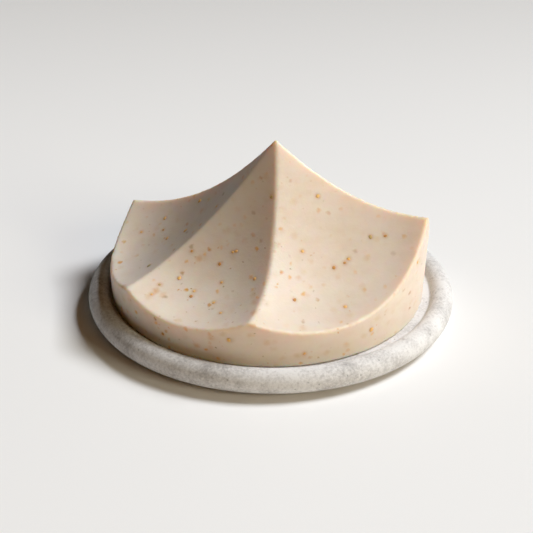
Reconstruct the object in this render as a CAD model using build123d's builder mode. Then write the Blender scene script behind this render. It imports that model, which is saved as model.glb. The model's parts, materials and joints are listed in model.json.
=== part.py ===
from build123d import *
from math import asin, cos, degrees, pi, radians, sin
import os

# Sculpted shaving soap puck, resting loose in the shallow recess of its round stone dish.
#
# Frame: millimetres, +Z up, origin on the table at the centre of the dish's foot.
# The soap's tall corner points along +X and its low scooped rim faces -Y.
#
# The soap is a low drafted disc whose top is carved by five scoops. The scoops all start at one
# off-centre peak and run out to the rim, and sharp ridges stand where two of them meet.

os.makedirs("parts", exist_ok=True)

# ---------------------------------------------------------------- driving dimensions, dish
DISH_HEIGHT = 8.0             # table to the top of the rim
RIM_OUTER_RADIUS = 49.4
RIM_HALF_WIDTH = 3.1          # the rim's section is an upright ellipse, a full bull-nose
RIM_HALF_HEIGHT = 3.25
RECESS_DEPTH = 2.2            # rim top down to the flat floor that the soap stands on
RECESS_CORNER_RADIUS = 0.5
FOOT_RADIUS = 41.0            # flat disc that touches the table
FOOT_SLOPE_RUN = 1.5          # the foot spreads by this much up to the underside of the rim

# ---------------------------------------------------------------- driving dimensions, soap
SOAP_RADIUS = 42.0            # wall radius at the base, before the bottom edge is rounded
SOAP_WALL_LEAN = 0.045        # the wall opens outward by this much for each mm of height
SOAP_BOTTOM_ROUND = 0.8
SOAP_OFFSET_X = -1.0          # the puck lies a little off the middle of its recess
SOAP_OFFSET_Y = -0.3
PEAK_X = 1.9                  # the peak, from the puck's own axis
PEAK_Y = -1.8
PEAK_HEIGHT = 44.9            # above the puck's base, before the tip is rubbed down
TIP_WEAR = 0.3

# Each scoop runs from the peak towards the rim along its own direction.
#   direction     degrees from +X, counter-clockwise
#   rim_height    floor of the scoop where it reaches the rim, above the puck's base
#   steepness     exponent of the fall from the peak: higher is steeper near the peak
#   cross_radius  radius of the trough across its run
#   lean          rise of the trough's left side, one soap radius from its middle line
SCOOPS = {
    "left": dict(direction=182.2, rim_height=8.15, steepness=1.73, cross_radius=49.6, lean=-11.7),
    "front_left": dict(direction=231.8, rim_height=8.7, steepness=2.33, cross_radius=53.4, lean=3.4),
    "front_right": dict(direction=290.2, rim_height=9.7, steepness=1.79, cross_radius=61.0, lean=2.7),
    "back_right": dict(direction=45.8, rim_height=6.4, steepness=1.87, cross_radius=56.6, lean=1.5),
    "back_left": dict(direction=110.4, rim_height=8.0, steepness=1.76, cross_radius=53.8, lean=-6.7),
}
STATIONS = (-0.12, 0.0, 0.14, 0.28, 0.42, 0.56, 0.7, 0.84, 0.96, 1.08, 1.2, 1.35)  # along a scoop
CUTTER_HALF_WIDTH = 1.1 * SOAP_RADIUS
CUTTER_TOP = 2.7 * PEAK_HEIGHT

# ---------------------------------------------------------------- driving dimensions, bran flakes
FLAKE_RADII = (0.5, 0.35, 0.6, 0.4)  # the larger flakes, those that lie open in the surface
FLAKE_THICKNESS = 0.4
FLAKE_CORNERS = 5
CLOSE_FLAKES = (              # where the bran lies thickest: degrees from +X, mm from the axis
    (160, 30), (168, 29), (183, 22), (205, 23), (240, 18), (234, 21), (242, 25),
    (218, 29), (244, 31), (231, 31), (215, 34), (332, 30), (318, 28), (309, 27),
)
TOP_FLAKES = 34               # spread evenly over the whole top
WALL_FLAKES = 14
GOLDEN_ANGLE = 137.508        # spreads the flakes evenly without rows
TOP_FLAKE_REACH = 0.9 * SOAP_RADIUS
WALL_FLAKE_LOW = 3.0          # above the puck's base
WALL_FLAKE_MARGIN = 2.5       # below the rim
RIDGE_MARGIN = 1.2            # flakes this close in height to a second scoop lie on a ridge

# ---------------------------------------------------------------- derived sizes
RECESS_FLOOR_Z = DISH_HEIGHT - RECESS_DEPTH
RIM_CENTRE_Z = DISH_HEIGHT - RIM_HALF_HEIGHT
RIM_CENTRE_RADIUS = RIM_OUTER_RADIUS - RIM_HALF_WIDTH
RIM_UNDERSIDE_Z = RIM_CENTRE_Z - RIM_HALF_HEIGHT
SOAP_ORIGIN = Vector(SOAP_OFFSET_X, SOAP_OFFSET_Y, RECESS_FLOOR_Z)
BLANK_HEIGHT = PEAK_HEIGHT - TIP_WEAR


def run_length(scoop):
    """Distance from the peak to the rim along the scoop."""
    angle = radians(scoop["direction"])
    return SOAP_RADIUS - PEAK_X * cos(angle) - PEAK_Y * sin(angle)


def floor_height(scoop, along):
    """Height of the scoop's middle line at a share of its run: 0 at the peak, 1 at the rim."""
    left_to_run = max(1 - along, 0)
    return scoop["rim_height"] + (PEAK_HEIGHT - scoop["rim_height"]) * left_to_run ** scoop["steepness"]


def trough_rise(scoop, across):
    """Height of the trough above its middle line: a parabola plus the skew of its lean."""
    return across**2 / (2 * scoop["cross_radius"]) + scoop["lean"] * (across / SOAP_RADIUS) ** 3


def scoop_heights(x, y):
    """Heights of the five scoops over one point, lowest first. The lowest is the carved top."""
    heights = []
    for scoop in SCOOPS.values():
        angle = radians(scoop["direction"])
        along = (x - PEAK_X) * cos(angle) + (y - PEAK_Y) * sin(angle)
        across = (y - PEAK_Y) * cos(angle) - (x - PEAK_X) * sin(angle)
        heights.append(floor_height(scoop, along / run_length(scoop)) + trough_rise(scoop, across))
    return sorted(heights)


def top_plane(x, y):
    """Plane that lies on the carved top at one point."""
    step = 0.2
    slope_x = (scoop_heights(x + step, y)[0] - scoop_heights(x - step, y)[0]) / (2 * step)
    slope_y = (scoop_heights(x, y + step)[0] - scoop_heights(x, y - step)[0]) / (2 * step)
    origin = SOAP_ORIGIN + Vector(x, y, scoop_heights(x, y)[0])
    return Plane(origin=origin, z_dir=(-slope_x, -slope_y, 1))


def wall_plane(angle, height):
    """Plane that lies on the leaning side wall."""
    radius = SOAP_RADIUS + SOAP_WALL_LEAN * height
    origin = SOAP_ORIGIN + Vector(radius * cos(angle), radius * sin(angle), height)
    return Plane(origin=origin, z_dir=(cos(angle), sin(angle), -SOAP_WALL_LEAN))


def flake_planes():
    """A plane for each bran flake, those on the top first. Flakes on a ridge are left out."""
    places = list(CLOSE_FLAKES)
    for index in range(TOP_FLAKES):
        places.append((GOLDEN_ANGLE * index, TOP_FLAKE_REACH * ((index + 0.5) / TOP_FLAKES) ** 0.5))
    planes = []
    for angle, reach in places:
        x, y = reach * cos(radians(angle)), reach * sin(radians(angle))
        lowest, second = scoop_heights(x, y)[:2]
        if second - lowest > RIDGE_MARGIN:
            planes.append(top_plane(x, y))
    for index in range(WALL_FLAKES):
        angle = 2 * pi * index / WALL_FLAKES
        rim = scoop_heights(SOAP_RADIUS * cos(angle), SOAP_RADIUS * sin(angle))[0]
        share = (GOLDEN_ANGLE * index % 360) / 360
        height = WALL_FLAKE_LOW + share * (rim - WALL_FLAKE_MARGIN - WALL_FLAKE_LOW)
        planes.append(wall_plane(angle, height))
    return planes


def station_plane(scoop, along):
    """Upright plane across the scoop, facing out along its run."""
    angle = radians(scoop["direction"])
    distance = along * run_length(scoop)
    offset = Vector(PEAK_X + distance * cos(angle), PEAK_Y + distance * sin(angle), 0)
    return Plane(
        origin=SOAP_ORIGIN + offset,
        x_dir=(-sin(angle), cos(angle), 0),
        z_dir=(cos(angle), sin(angle), 0),
    )


def trough_curve_points(scoop, along):
    """Control points of the cubic curve that is the trough's exact section, in a station's plane."""
    base = floor_height(scoop, along)
    bow = CUTTER_HALF_WIDTH**2 / (2 * scoop["cross_radius"])
    skew = scoop["lean"] * (CUTTER_HALF_WIDTH / SOAP_RADIUS) ** 3
    third = CUTTER_HALF_WIDTH / 3
    return [
        (-CUTTER_HALF_WIDTH, base + bow - skew),
        (-third, base - bow / 3 + skew),
        (third, base - bow / 3 - skew),
        (CUTTER_HALF_WIDTH, base + bow + skew),
    ]


# ---------------------------------------------------------------- stone dish
with BuildPart() as stone_dish:
    with BuildSketch(Plane.XZ):
        with BuildLine():
            inner_angle = degrees(asin((RECESS_FLOOR_Z - RIM_CENTRE_Z) / RIM_HALF_HEIGHT))
            Polyline(
                (0, RECESS_FLOOR_Z),
                (0, 0),
                (FOOT_RADIUS, 0),
                (FOOT_RADIUS + FOOT_SLOPE_RUN, RIM_UNDERSIDE_Z),
                (RIM_CENTRE_RADIUS, RIM_UNDERSIDE_Z),
            )
            bull_nose = EllipticalCenterArc(
                (RIM_CENTRE_RADIUS, RIM_CENTRE_Z),
                RIM_HALF_WIDTH,
                RIM_HALF_HEIGHT,
                start_angle=-90,
                arc_size=270 - inner_angle,
            )
            Line(bull_nose @ 1, (0, RECESS_FLOOR_Z))
        make_face()
        recess_corner = vertices().sort_by_distance(bull_nose @ 1)[0]
        fillet(recess_corner, RECESS_CORNER_RADIUS)
    revolve(axis=Axis.Z)
stone_dish.part.label = "stone_dish"

# ---------------------------------------------------------------- soap puck
with BuildPart() as soap_puck:
    with BuildSketch(Plane(origin=SOAP_ORIGIN, x_dir=(1, 0, 0), z_dir=(0, -1, 0))):
        with BuildLine():
            Polyline(
                (0, 0),
                (SOAP_RADIUS, 0),
                (SOAP_RADIUS + SOAP_WALL_LEAN * BLANK_HEIGHT, BLANK_HEIGHT),
                (0, BLANK_HEIGHT),
                close=True,
            )
        make_face()
        bottom_corner = vertices().sort_by_distance((SOAP_RADIUS, 0))[0]
        fillet(bottom_corner, SOAP_BOTTOM_ROUND)
    revolve(axis=Axis(SOAP_ORIGIN, (0, 0, 1)))
    for scoop in SCOOPS.values():
        for along in STATIONS:
            with BuildSketch(station_plane(scoop, along)):
                with BuildLine():
                    trough = Bezier(*trough_curve_points(scoop, along))
                    Polyline(
                        trough @ 1,
                        (CUTTER_HALF_WIDTH, CUTTER_TOP),
                        (-CUTTER_HALF_WIDTH, CUTTER_TOP),
                        trough @ 0,
                    )
                make_face()
        loft(mode=Mode.SUBTRACT)
soap_puck.part.label = "soap_puck"

# ---------------------------------------------------------------- bran flakes in the soap's skin
with BuildPart() as bran_flakes:
    for index, plane in enumerate(flake_planes()):
        radius = FLAKE_RADII[index % len(FLAKE_RADII)]
        with BuildSketch(plane):
            RegularPolygon(radius, FLAKE_CORNERS, rotation=GOLDEN_ANGLE * index)
        extrude(amount=FLAKE_THICKNESS / 2, both=True)
bran_flakes.part.label = "bran_flakes"

export_step(stone_dish.part, "parts/stone_dish.step")
export_step(soap_puck.part, "parts/soap_puck.step")
export_step(bran_flakes.part, "parts/bran_flakes.step")
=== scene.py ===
"""Finish, light and camera for a sculpted shaving soap puck in its round stone dish."""

import json
import random
from math import cos, pi, radians, sin

import bmesh
import bpy
from mathutils import Matrix, Vector
from mathutils.kdtree import KDTree

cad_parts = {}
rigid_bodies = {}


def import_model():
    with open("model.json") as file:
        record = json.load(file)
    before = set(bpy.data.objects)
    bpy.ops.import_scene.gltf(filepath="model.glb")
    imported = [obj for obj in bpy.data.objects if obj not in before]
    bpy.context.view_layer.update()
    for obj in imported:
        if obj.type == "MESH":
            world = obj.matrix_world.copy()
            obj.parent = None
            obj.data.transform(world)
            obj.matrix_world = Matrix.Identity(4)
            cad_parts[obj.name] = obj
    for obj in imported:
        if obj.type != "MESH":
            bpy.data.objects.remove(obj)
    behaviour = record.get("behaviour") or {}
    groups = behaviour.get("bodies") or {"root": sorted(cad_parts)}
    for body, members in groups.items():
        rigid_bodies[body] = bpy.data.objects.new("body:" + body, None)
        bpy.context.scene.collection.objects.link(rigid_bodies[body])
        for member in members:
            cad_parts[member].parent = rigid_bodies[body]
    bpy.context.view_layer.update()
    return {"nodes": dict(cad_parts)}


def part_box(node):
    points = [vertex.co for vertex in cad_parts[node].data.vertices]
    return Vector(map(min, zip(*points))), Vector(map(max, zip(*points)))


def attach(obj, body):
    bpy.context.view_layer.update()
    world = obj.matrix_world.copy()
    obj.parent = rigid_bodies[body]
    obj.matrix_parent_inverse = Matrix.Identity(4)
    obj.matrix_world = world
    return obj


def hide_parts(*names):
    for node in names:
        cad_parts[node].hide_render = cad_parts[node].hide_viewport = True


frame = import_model()

MM = 0.001

# ------------------------------------------------------------------ sizes and places, in metres
DISH_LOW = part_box("stone_dish")[0]
PUCK_LOW, PUCK_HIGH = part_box("soap_puck")
TABLE_TOP = Vector((0.0, 0.0, DISH_LOW.z))  # the dish stands on it
PUCK_FOOT = Vector(((PUCK_LOW.x + PUCK_HIGH.x) / 2, (PUCK_LOW.y + PUCK_HIGH.y) / 2, PUCK_LOW.z))

PUCK_GRAIN = 0.47 * MM        # mesh size of the soap's skin
PUCK_SOFTENING = 7            # passes that round the ridges and the rim
BRAN_HALO = 1.3 * MM          # how far a flake's colour shows through the soap around it

FLAKE_SEED = 11               # for the random shapes and finishes of the flakes
FLAKE_WIDTHS = (0.9, 1.1)     # of the CAD flake's radius, the least and the most
FLAKE_DEPTHS = (0.65, 0.95)
FLAKE_THICKNESS = 0.15
FLAKE_EDGE = (0.85, 1.1)      # how far each corner stands in or out, which makes the flake ragged
SAME_POINT = 0.001 * MM       # points nearer than this are one point

CAMERA_LENS = 108.0           # on a 36 mm sensor
CAMERA_DISTANCE = 435.9 * MM
CAMERA_PITCH = 28.2           # degrees below the horizon
CAMERA_ROLL = 0.54            # degrees
CAMERA_AIM = Vector((-1.25 * MM, 2.6 * MM, 10.6 * MM))

LIGHT_DISTANCE = 4000 * MM
SOFTBOX_SIZE = 1400 * MM
# each softbox: degrees from +X, degrees above the table, power, colour
SOFTBOXES = {
    "key_light": (10.0, 50.0, 192.0, (0.892, 0.935, 1.0)),
    "front_light": (-42.0, 25.0, 56.0, (0.98, 0.93, 0.74)),
    "side_fill": (-70.0, 32.0, 14.0, (1.0, 0.45, 0.06)),
}
ROOM_BRIGHTNESS = 0.015
ROOM_COLOUR = (1.0, 0.76, 0.42, 1.0)

FLOOR_SIZE = 40.0             # wide, so that its edge is far off in low views
FLOOR_SHADE_START = 40 * MM          # along Y: the painted shade on the floor starts here
FLOOR_SHADE_FULL = 420 * MM          # and is full here


# ------------------------------------------------------------------ mesh helpers
def deselect_everything():
    """Clears the selection, so that the next operator acts on one piece only."""
    for thing in bpy.context.view_layer.objects:
        thing.select_set(False)


def make_active(piece):
    """Selects this piece alone, ready for an operator."""
    deselect_everything()
    piece.select_set(True)
    bpy.context.view_layer.objects.active = piece


def apply_modifier(piece, kind, **settings):
    """Adds one modifier with its settings and applies it to the mesh."""
    make_active(piece)
    modifier = piece.modifiers.new(kind.title(), kind)
    for name, value in settings.items():
        setattr(modifier, name, value)
    bpy.ops.object.modifier_apply(modifier=modifier.name)


def merged_copy(node, name):
    """A copy of a CAD node with its loose triangles joined into one skin."""
    piece = bpy.data.objects.new(name, frame["nodes"][node].data.copy())
    piece.data.name = name
    piece.data.materials.clear()
    bpy.context.scene.collection.objects.link(piece)
    make_active(piece)
    bpy.ops.object.mode_set(mode="EDIT")
    bpy.ops.mesh.select_all(action="SELECT")
    bpy.ops.mesh.remove_doubles(threshold=SAME_POINT)
    bpy.ops.object.mode_set(mode="OBJECT")
    return piece


# ------------------------------------------------------------------ material helpers
class Wire:
    """An output socket of a material's nodes, written in expressions as if it were a number."""

    def __init__(self, tree, socket=None):
        self.tree = tree
        self.socket = socket

    def node(self, kind, settings, inputs, output=0):
        """Adds a node: its settings first, then values or wires for its input sockets."""
        made = self.tree.nodes.new(kind)
        for name, value in settings.items():
            if name == "stops":
                set_stops(made.color_ramp, value)
            else:
                setattr(made, name, value)
        for key, value in inputs.items():
            if isinstance(value, Wire):
                self.tree.links.new(value.socket, made.inputs[key])
            else:
                made.inputs[key].default_value = value
        return Wire(self.tree, made.outputs[output])

    def math(self, operation, first, second):
        """Adds a Math node."""
        return self.node("ShaderNodeMath", {"operation": operation}, {0: first, 1: second})

    def __add__(self, other):
        return self.math("ADD", self, other)

    def __radd__(self, other):
        return self.math("ADD", other, self)

    def __sub__(self, other):
        return self.math("SUBTRACT", self, other)

    def __rsub__(self, other):
        return self.math("SUBTRACT", other, self)

    def __mul__(self, other):
        return self.math("MULTIPLY", self, other)

    def __rmul__(self, other):
        return self.math("MULTIPLY", other, self)

    def __pow__(self, other):
        return self.math("POWER", self, other)

    def __rpow__(self, other):
        return self.math("POWER", other, self)

    def above(self, limit):
        """1 where the value is over the limit, otherwise 0."""
        return self.math("GREATER_THAN", self, limit)

    def smooth_step(self, low, high):
        """0 below low, 1 above high, and a soft slope between them. The limits may be swapped."""
        settings = {"interpolation_type": "SMOOTHSTEP"}
        return self.node("ShaderNodeMapRange", settings, {0: self, 1: low, 2: high, 3: 0.0, 4: 1.0})

    def coordinate(self, axis):
        """One number of this vector: axis 0 is X, 1 is Y, 2 is Z."""
        return self.node("ShaderNodeSeparateXYZ", {}, {0: self}, axis)

    def channel(self, index):
        """One number of this colour: 0 is red, 1 is green, 2 is blue."""
        return self.node("ShaderNodeSeparateColor", {}, {0: self}, index)

    def moved(self, vector):
        """This vector plus another one."""
        return self.node("ShaderNodeVectorMath", {"operation": "ADD"}, {0: self, 1: vector})

    def stretched(self, amount):
        """This vector times a number, or times a vector part by part."""
        if isinstance(amount, (int, float)):
            amount = (amount, amount, amount)
        return self.node("ShaderNodeVectorMath", {"operation": "MULTIPLY"}, {0: self, 1: amount})

    def noise(self, size, detail=2.0, roughness=0.5, output=0):
        """Cloudy noise with features of about this size, in metres."""
        inputs = {"Vector": self, "Scale": 1 / size, "Detail": detail, "Roughness": roughness}
        return self.node("ShaderNodeTexNoise", {}, inputs, output)

    def cells(self, size, output):
        """One scattered spot to each cell of about this size: its Distance or its Color."""
        inputs = {"Vector": self, "Scale": 1 / size}
        return self.node("ShaderNodeTexVoronoi", {"feature": "F1"}, inputs, output)

    def ramp(self, *stops):
        """A colour for each value: stops are pairs of a place and a colour."""
        return self.node("ShaderNodeValToRGB", {"stops": stops}, {0: self})

    def tinted(self, other, amount):
        """This colour mixed towards another by an amount from 0 to 1."""
        inputs = {0: amount, 6: self, 7: other}
        return self.node("ShaderNodeMix", {"data_type": "RGBA"}, inputs, 2)


def set_stops(ramp, stops):
    """Gives a colour ramp its stops, pairs of a place and a colour."""
    while len(ramp.elements) < len(stops):
        ramp.elements.new(1.0)
    for element, (place, colour) in zip(ramp.elements, stops):
        element.position = place
        element.color = (*colour, 1.0)


def new_material(name, **constants):
    """A material with one shader, its constant values set, and a wire that starts its pattern."""
    material = bpy.data.materials.new(name)
    material.use_nodes = True
    tree = material.node_tree
    shader = tree.nodes["Principled BSDF"]
    for socket, value in constants.items():
        shader.inputs[socket.replace("_", " ")].default_value = value
    place = Wire(tree).node("ShaderNodeTexCoord", {}, {}, "Object")
    return material, place, shader


def feed(shader, **wires):
    """Connects varying wires to the shader's sockets."""
    for socket, wire in wires.items():
        wire.tree.links.new(wire.socket, shader.inputs[socket.replace("_", " ")])


def bump(height, distance):
    """A surface normal from a height pattern, where a height of 1 is this distance in metres."""
    inputs = {"Height": height, "Distance": distance, "Strength": 1.0}
    return height.node("ShaderNodeBump", {}, inputs)


# ------------------------------------------------------------------ materials
CREAM = (0.742, 0.632, 0.520)
CREAM_DEEP = (0.702, 0.580, 0.458)
CREAM_PALE = (0.766, 0.670, 0.568)
AMBER = (0.640, 0.310, 0.065)
HUSK_BROWN = (0.400, 0.175, 0.045)
OLIVE = (0.360, 0.260, 0.100)
PEACH = (0.660, 0.450, 0.230)
TAN = (0.620, 0.460, 0.270)
GOLD = (0.780, 0.440, 0.120)

STONE_DIM = (0.404, 0.384, 0.368)
STONE_GREY = (0.571, 0.550, 0.529)
STONE_PALE = (0.707, 0.689, 0.666)
PINHOLE_GREY = (0.220, 0.215, 0.210)

FLOOR_PALE = (0.864, 0.848, 0.822)
# painted shade: the floor's far colour, darker where the light falls off
FLOOR_PAINTED_SHADE = (0.605, 0.583, 0.554)

# each husk: its share of the flakes, its dark and its light
HUSKS = {
    "husk_amber": (7, (0.74, 0.40, 0.10), (0.88, 0.55, 0.20)),
    "husk_brown": (2, (0.48, 0.22, 0.06), (0.64, 0.34, 0.11)),
    "husk_olive": (1, (0.42, 0.30, 0.10), (0.60, 0.45, 0.20)),
}

CLUMP_SHIFT = (0.013, 0.021, 0.0)  # chooses the stretch of noise that clumps the bran
CLUMP_DRIFT = 4.5                  # how much the bran thins per metre towards +X and +Y


def bran_layer(place, plenty, cell, share, shift, edge, core, strength, sparse):
    """One size of bran, scattered through the soap: how strongly it shows at a point, and its tint.

    cell is the spacing, share the part of the cells that hold a flake, shift an offset that sets
    the layers apart, edge and core the distances from the flake's middle where it fades out and is
    full, strength the weakest and the strongest flake, and sparse what is left where bran is rare.
    The pattern is solid, so a flake shows as large as the surface happens to cut it.
    """
    warp = place.noise(1.1 * MM, detail=1.0, output=1).moved((-0.5, -0.5, -0.5)).stretched(0.9 * MM)
    spot = place.moved(warp).moved((shift, -shift, 0.7 * shift)).stretched((1.0, 0.8, 1.25))
    distance = spot.cells(cell, "Distance") * cell
    colour = spot.cells(cell, "Color")
    size = colour.channel(0)
    present = colour.channel(1).above(1 - share)
    tint = colour.channel(2)
    weakest, strongest = strength
    shows = distance.smooth_step(edge, core) * present * (weakest + (strongest - weakest) * size)
    return shows * (sparse + (1 - sparse) * plenty), tint


def soap_material():
    """Milled oat-coloured soap: waxy, lit through at thin ridges, with bran in and under it."""
    material, place, shader = new_material(
        "oat_soap",
        IOR=1.46,
        Subsurface_Weight=1.0,
        Subsurface_Radius=(1.0, 0.52, 0.26),
        Subsurface_Scale=4.0 * MM,
        Specular_IOR_Level=0.45,
    )
    cloud = place.noise(16 * MM, detail=3.0)
    streak = place.stretched((1.0, 1.0, 2.4)).noise(5 * MM, detail=2.0)
    milling = 0.65 * cloud + 0.35 * streak
    colour = milling.ramp((0.32, CREAM_DEEP), (0.5, CREAM), (0.7, CREAM_PALE))

    # the bran lies thicker in some places than in others, most of all low on the -X -Y side
    clump = place.moved(CLUMP_SHIFT).noise(22 * MM, detail=1.0)
    drift = CLUMP_DRIFT * (place.coordinate(0) + place.coordinate(1))
    plenty = (clump - drift).smooth_step(0.34, 0.68)

    # bran that lies just below the skin and shows through as a soft stain
    stain, tint = bran_layer(
        place, plenty, cell=3.6 * MM, share=0.75, shift=0.31,
        edge=1.5 * MM, core=0.1 * MM, strength=(0.16, 0.60), sparse=0.4,
    )
    colour = colour.tinted(tint.ramp((0.0, PEACH), (0.6, TAN), (1.0, AMBER)), stain)

    # fine dust of bran
    dust, tint = bran_layer(
        place, plenty, cell=1.7 * MM, share=0.36, shift=0.17,
        edge=0.40 * MM, core=0.08 * MM, strength=(0.25, 0.85), sparse=0.15,
    )
    colour = colour.tinted(tint.ramp((0.0, HUSK_BROWN), (0.3, OLIVE), (0.6, AMBER)), dust)

    # whole flakes cut open by the surface
    flake, tint = bran_layer(
        place, plenty, cell=3.1 * MM, share=0.62, shift=0.53,
        edge=0.90 * MM, core=0.20 * MM, strength=(0.45, 1.0), sparse=0.35,
    )
    flake_colour = tint.ramp(
        (0.0, OLIVE), (0.1, HUSK_BROWN), (0.25, AMBER), (0.7, GOLD), (1.0, PEACH)
    )
    colour = colour.tinted(flake_colour, flake)

    # the glow of the large flakes through the soap around them
    halo = place.node("ShaderNodeAttribute", {"attribute_name": "bran_near"}, {}, "Fac")
    colour = colour.tinted((*AMBER, 1.0), 0.75 * halo ** 1.5)

    rough = 0.44 + 0.10 * cloud + 0.12 * flake
    skin = place.noise(0.9 * MM, detail=3.0, roughness=0.6) + 1.5 * place.noise(7 * MM, detail=1.0)
    feed(shader, Base_Color=colour, Roughness=rough, Normal=bump(skin + 0.4 * flake, 0.03 * MM))
    return material


def stone_material():
    """Cast stone: pale grey with soft mottles, a fine sandy grain and a few pinholes."""
    material, place, shader = new_material("cast_stone", Specular_IOR_Level=0.35)
    mottle = place.noise(5 * MM, detail=4.0, roughness=0.65)
    broad = place.noise(26 * MM, detail=2.0)
    grain = place.noise(0.7 * MM, detail=2.0, roughness=0.7)
    mix = 0.42 * mottle + 0.22 * broad + 0.36 * grain
    colour = mix.ramp((0.37, STONE_DIM), (0.47, STONE_GREY), (0.57, STONE_PALE))
    pinhole = place.cells(2.6 * MM, "Distance").smooth_step(0.13, 0.05)
    colour = colour.tinted((*PINHOLE_GREY, 1.0), 0.55 * pinhole)
    relief = 0.6 * grain + 0.8 * mottle - 0.7 * pinhole
    feed(shader, Base_Color=colour, Roughness=0.66 + 0.16 * grain, Normal=bump(relief, 0.10 * MM))
    return material


def husk_material(name, dark, light):
    """Bran husk: a fibrous flake, dry and matt."""
    material, place, shader = new_material(name, Specular_IOR_Level=0.3)
    fibre = place.stretched((1.0, 3.0, 1.0)).noise(0.35 * MM, detail=3.0)
    colour = fibre.ramp((0.35, dark), (0.65, light))
    feed(shader, Base_Color=colour, Roughness=0.6 + 0.2 * fibre, Normal=bump(fibre, 0.03 * MM))
    return material


# ------------------------------------------------------------------ pieces
def joined_groups(mesh):
    """The points of each separate piece of a mesh, in the mesh's own order."""
    seen = set()
    groups = []
    for start in mesh.verts:
        if start in seen:
            continue
        seen.add(start)
        group = [start]
        for point in group:       # the list grows while it is walked
            for edge in point.link_edges:
                other = edge.other_vert(point)
                if other not in seen:
                    seen.add(other)
                    group.append(other)
        groups.append(group)
    return groups


def flake_places():
    """Middle, facing and radius of each CAD flake, from its joined faces."""
    mesh = bmesh.new()
    mesh.from_mesh(frame["nodes"]["bran_flakes"].data)
    bmesh.ops.remove_doubles(mesh, verts=mesh.verts, dist=SAME_POINT)
    places = []
    for group in joined_groups(mesh):
        middle = sum((point.co for point in group), Vector()) / len(group)
        faces = [face for point in group for face in point.link_faces]
        facing = max(faces, key=lambda face: round(face.calc_area() / MM**2, 3)).normal.copy()
        radius = max((point.co - middle).length for point in group)
        places.append((middle, facing, radius))
    mesh.free()
    places.sort(key=lambda place: tuple(place[0]))
    return places


def mark_bran_near(bar, places):
    """Writes on each point of the soap how near it is to a large flake: 1 on it, 0 a halo away."""
    tree = KDTree(len(places))
    for index, place in enumerate(places):
        tree.insert(place[0], index)
    tree.balance()
    near = bar.data.attributes.new("bran_near", "FLOAT", "POINT")
    for vertex in bar.data.vertices:
        gap = tree.find(vertex.co)[2]
        near.data[vertex.index].value = max(0.0, 1 - gap / BRAN_HALO)


def soap_bar(places):
    """The puck: the CAD carving with its ridges, rim and peak worn soft."""
    bar = merged_copy("soap_puck", "soap_bar")
    apply_modifier(bar, "REMESH", mode="VOXEL", voxel_size=PUCK_GRAIN)
    apply_modifier(bar, "SMOOTH", factor=0.5, iterations=PUCK_SOFTENING)
    bpy.ops.object.shade_smooth()
    mark_bran_near(bar, places)
    bar.data.materials.append(soap_material())
    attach(bar, "soap")
    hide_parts("soap_puck")


def finish_dish():
    """The dish keeps its CAD shape and gets its stone."""
    dish = frame["nodes"]["stone_dish"]
    dish.data.materials.clear()
    dish.data.materials.append(stone_material())


def bran_flakes(places):
    """Each flake: a ball of few faces, flattened and ragged, half sunk in the soap's skin."""
    chooser = random.Random(FLAKE_SEED)
    finishes = [husk_material(name, dark, light) for name, (share, dark, light) in HUSKS.items()]
    shares = [husk[0] for husk in HUSKS.values()]
    flakes = []
    for middle, facing, radius in places:
        deselect_everything()
        bpy.ops.mesh.primitive_ico_sphere_add(subdivisions=2, radius=radius)
        flake = bpy.context.object
        turn = Matrix.Rotation(chooser.uniform(0, 2 * pi), 3, "Z")
        flat = facing.to_track_quat("Z", "Y").to_matrix() @ turn
        width = chooser.uniform(*FLAKE_WIDTHS)
        painted_falloff = chooser.uniform(*FLAKE_DEPTHS)
        squeeze = Vector((width, painted_falloff, FLAKE_THICKNESS))
        for vertex in flake.data.vertices:
            ragged = chooser.uniform(*FLAKE_EDGE)
            vertex.co = middle + flat @ (vertex.co * squeeze * ragged)
        flake.data.materials.append(chooser.choices(finishes, weights=shares)[0])
        flakes.append(flake)
    make_active(flakes[0])
    for flake in flakes:
        flake.select_set(True)
    bpy.ops.object.join()
    joined = bpy.context.object
    joined.name = "bran_in_skin"
    bpy.ops.object.transform_apply()
    bpy.ops.object.shade_smooth()
    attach(joined, "soap")
    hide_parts("bran_flakes")


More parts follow.
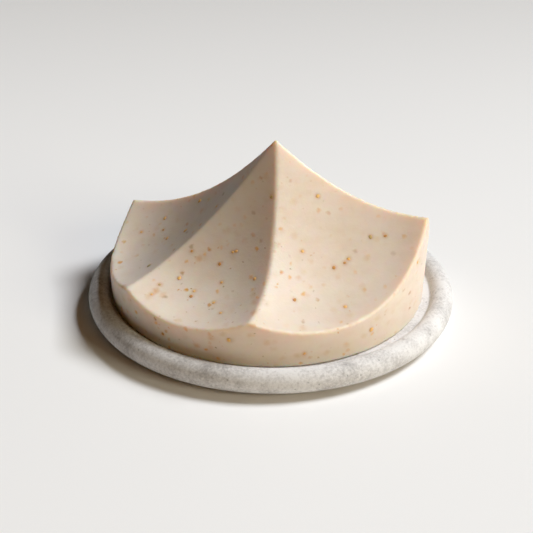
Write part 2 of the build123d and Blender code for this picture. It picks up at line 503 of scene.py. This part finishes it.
# ------------------------------------------------------------------ floor, light and camera
def pale_floor():
    """A plain pale floor with painted shade: its colour darkens softly along +Y behind the dish,
    standing in for the light falling off.
    """
    deselect_everything()
    bpy.ops.mesh.primitive_plane_add(size=FLOOR_SIZE, location=TABLE_TOP)
    floor = bpy.context.object
    floor.name = "table"
    material, place, shader = new_material("pale_table", Roughness=0.55, Specular_IOR_Level=0.3)
    # painted shade: the floor's colour darkens along +Y in place of the light's falloff
    painted_falloff = place.coordinate(1).smooth_step(FLOOR_SHADE_START, FLOOR_SHADE_FULL)
    feed(shader, Base_Color=painted_falloff.ramp((0.0, FLOOR_PALE), (1.0, FLOOR_PAINTED_SHADE)))
    floor.data.materials.append(material)


def softbox(name, direction, height, power, colour):
    """A square soft light that faces the soap."""
    data = bpy.data.lights.new(name, "AREA")
    data.size = SOFTBOX_SIZE
    data.energy = power
    data.color = colour
    light = bpy.data.objects.new(name, data)
    bpy.context.scene.collection.objects.link(light)
    turn, rise = radians(direction), radians(height)
    toward = Vector((cos(turn) * cos(rise), sin(turn) * cos(rise), sin(rise)))
    light.location = PUCK_FOOT + toward * LIGHT_DISTANCE
    light.rotation_euler = toward.to_track_quat("Z", "Y").to_euler()


def room_light():
    """Faint even light from all round."""
    world = bpy.data.worlds.new("room")
    world.use_nodes = True
    background = world.node_tree.nodes["Background"]
    background.inputs["Color"].default_value = ROOM_COLOUR
    background.inputs["Strength"].default_value = ROOM_BRIGHTNESS
    bpy.context.scene.world = world


def product_camera():
    """A long lens that looks down along +Y."""
    data = bpy.data.cameras.new("camera")
    data.lens = CAMERA_LENS
    data.clip_start = 10 * MM
    camera = bpy.data.objects.new("camera", data)
    bpy.context.scene.collection.objects.link(camera)
    pitch = radians(CAMERA_PITCH)
    away = Vector((0, cos(pitch), -sin(pitch)))
    camera.location = CAMERA_AIM - away * CAMERA_DISTANCE
    camera.rotation_mode = "QUATERNION"
    level = away.to_track_quat("-Z", "Y").to_matrix()
    roll = Matrix.Rotation(radians(CAMERA_ROLL), 3, "Z")
    camera.rotation_quaternion = (level @ roll).to_quaternion()
    bpy.context.scene.camera = camera


product_camera()
room_light()
for name, settings in SOFTBOXES.items():
    softbox(name, *settings)
pale_floor()
places = flake_places()
soap_bar(places)
bran_flakes(places)
finish_dish()
bpy.context.scene.view_settings.view_transform = "Standard"
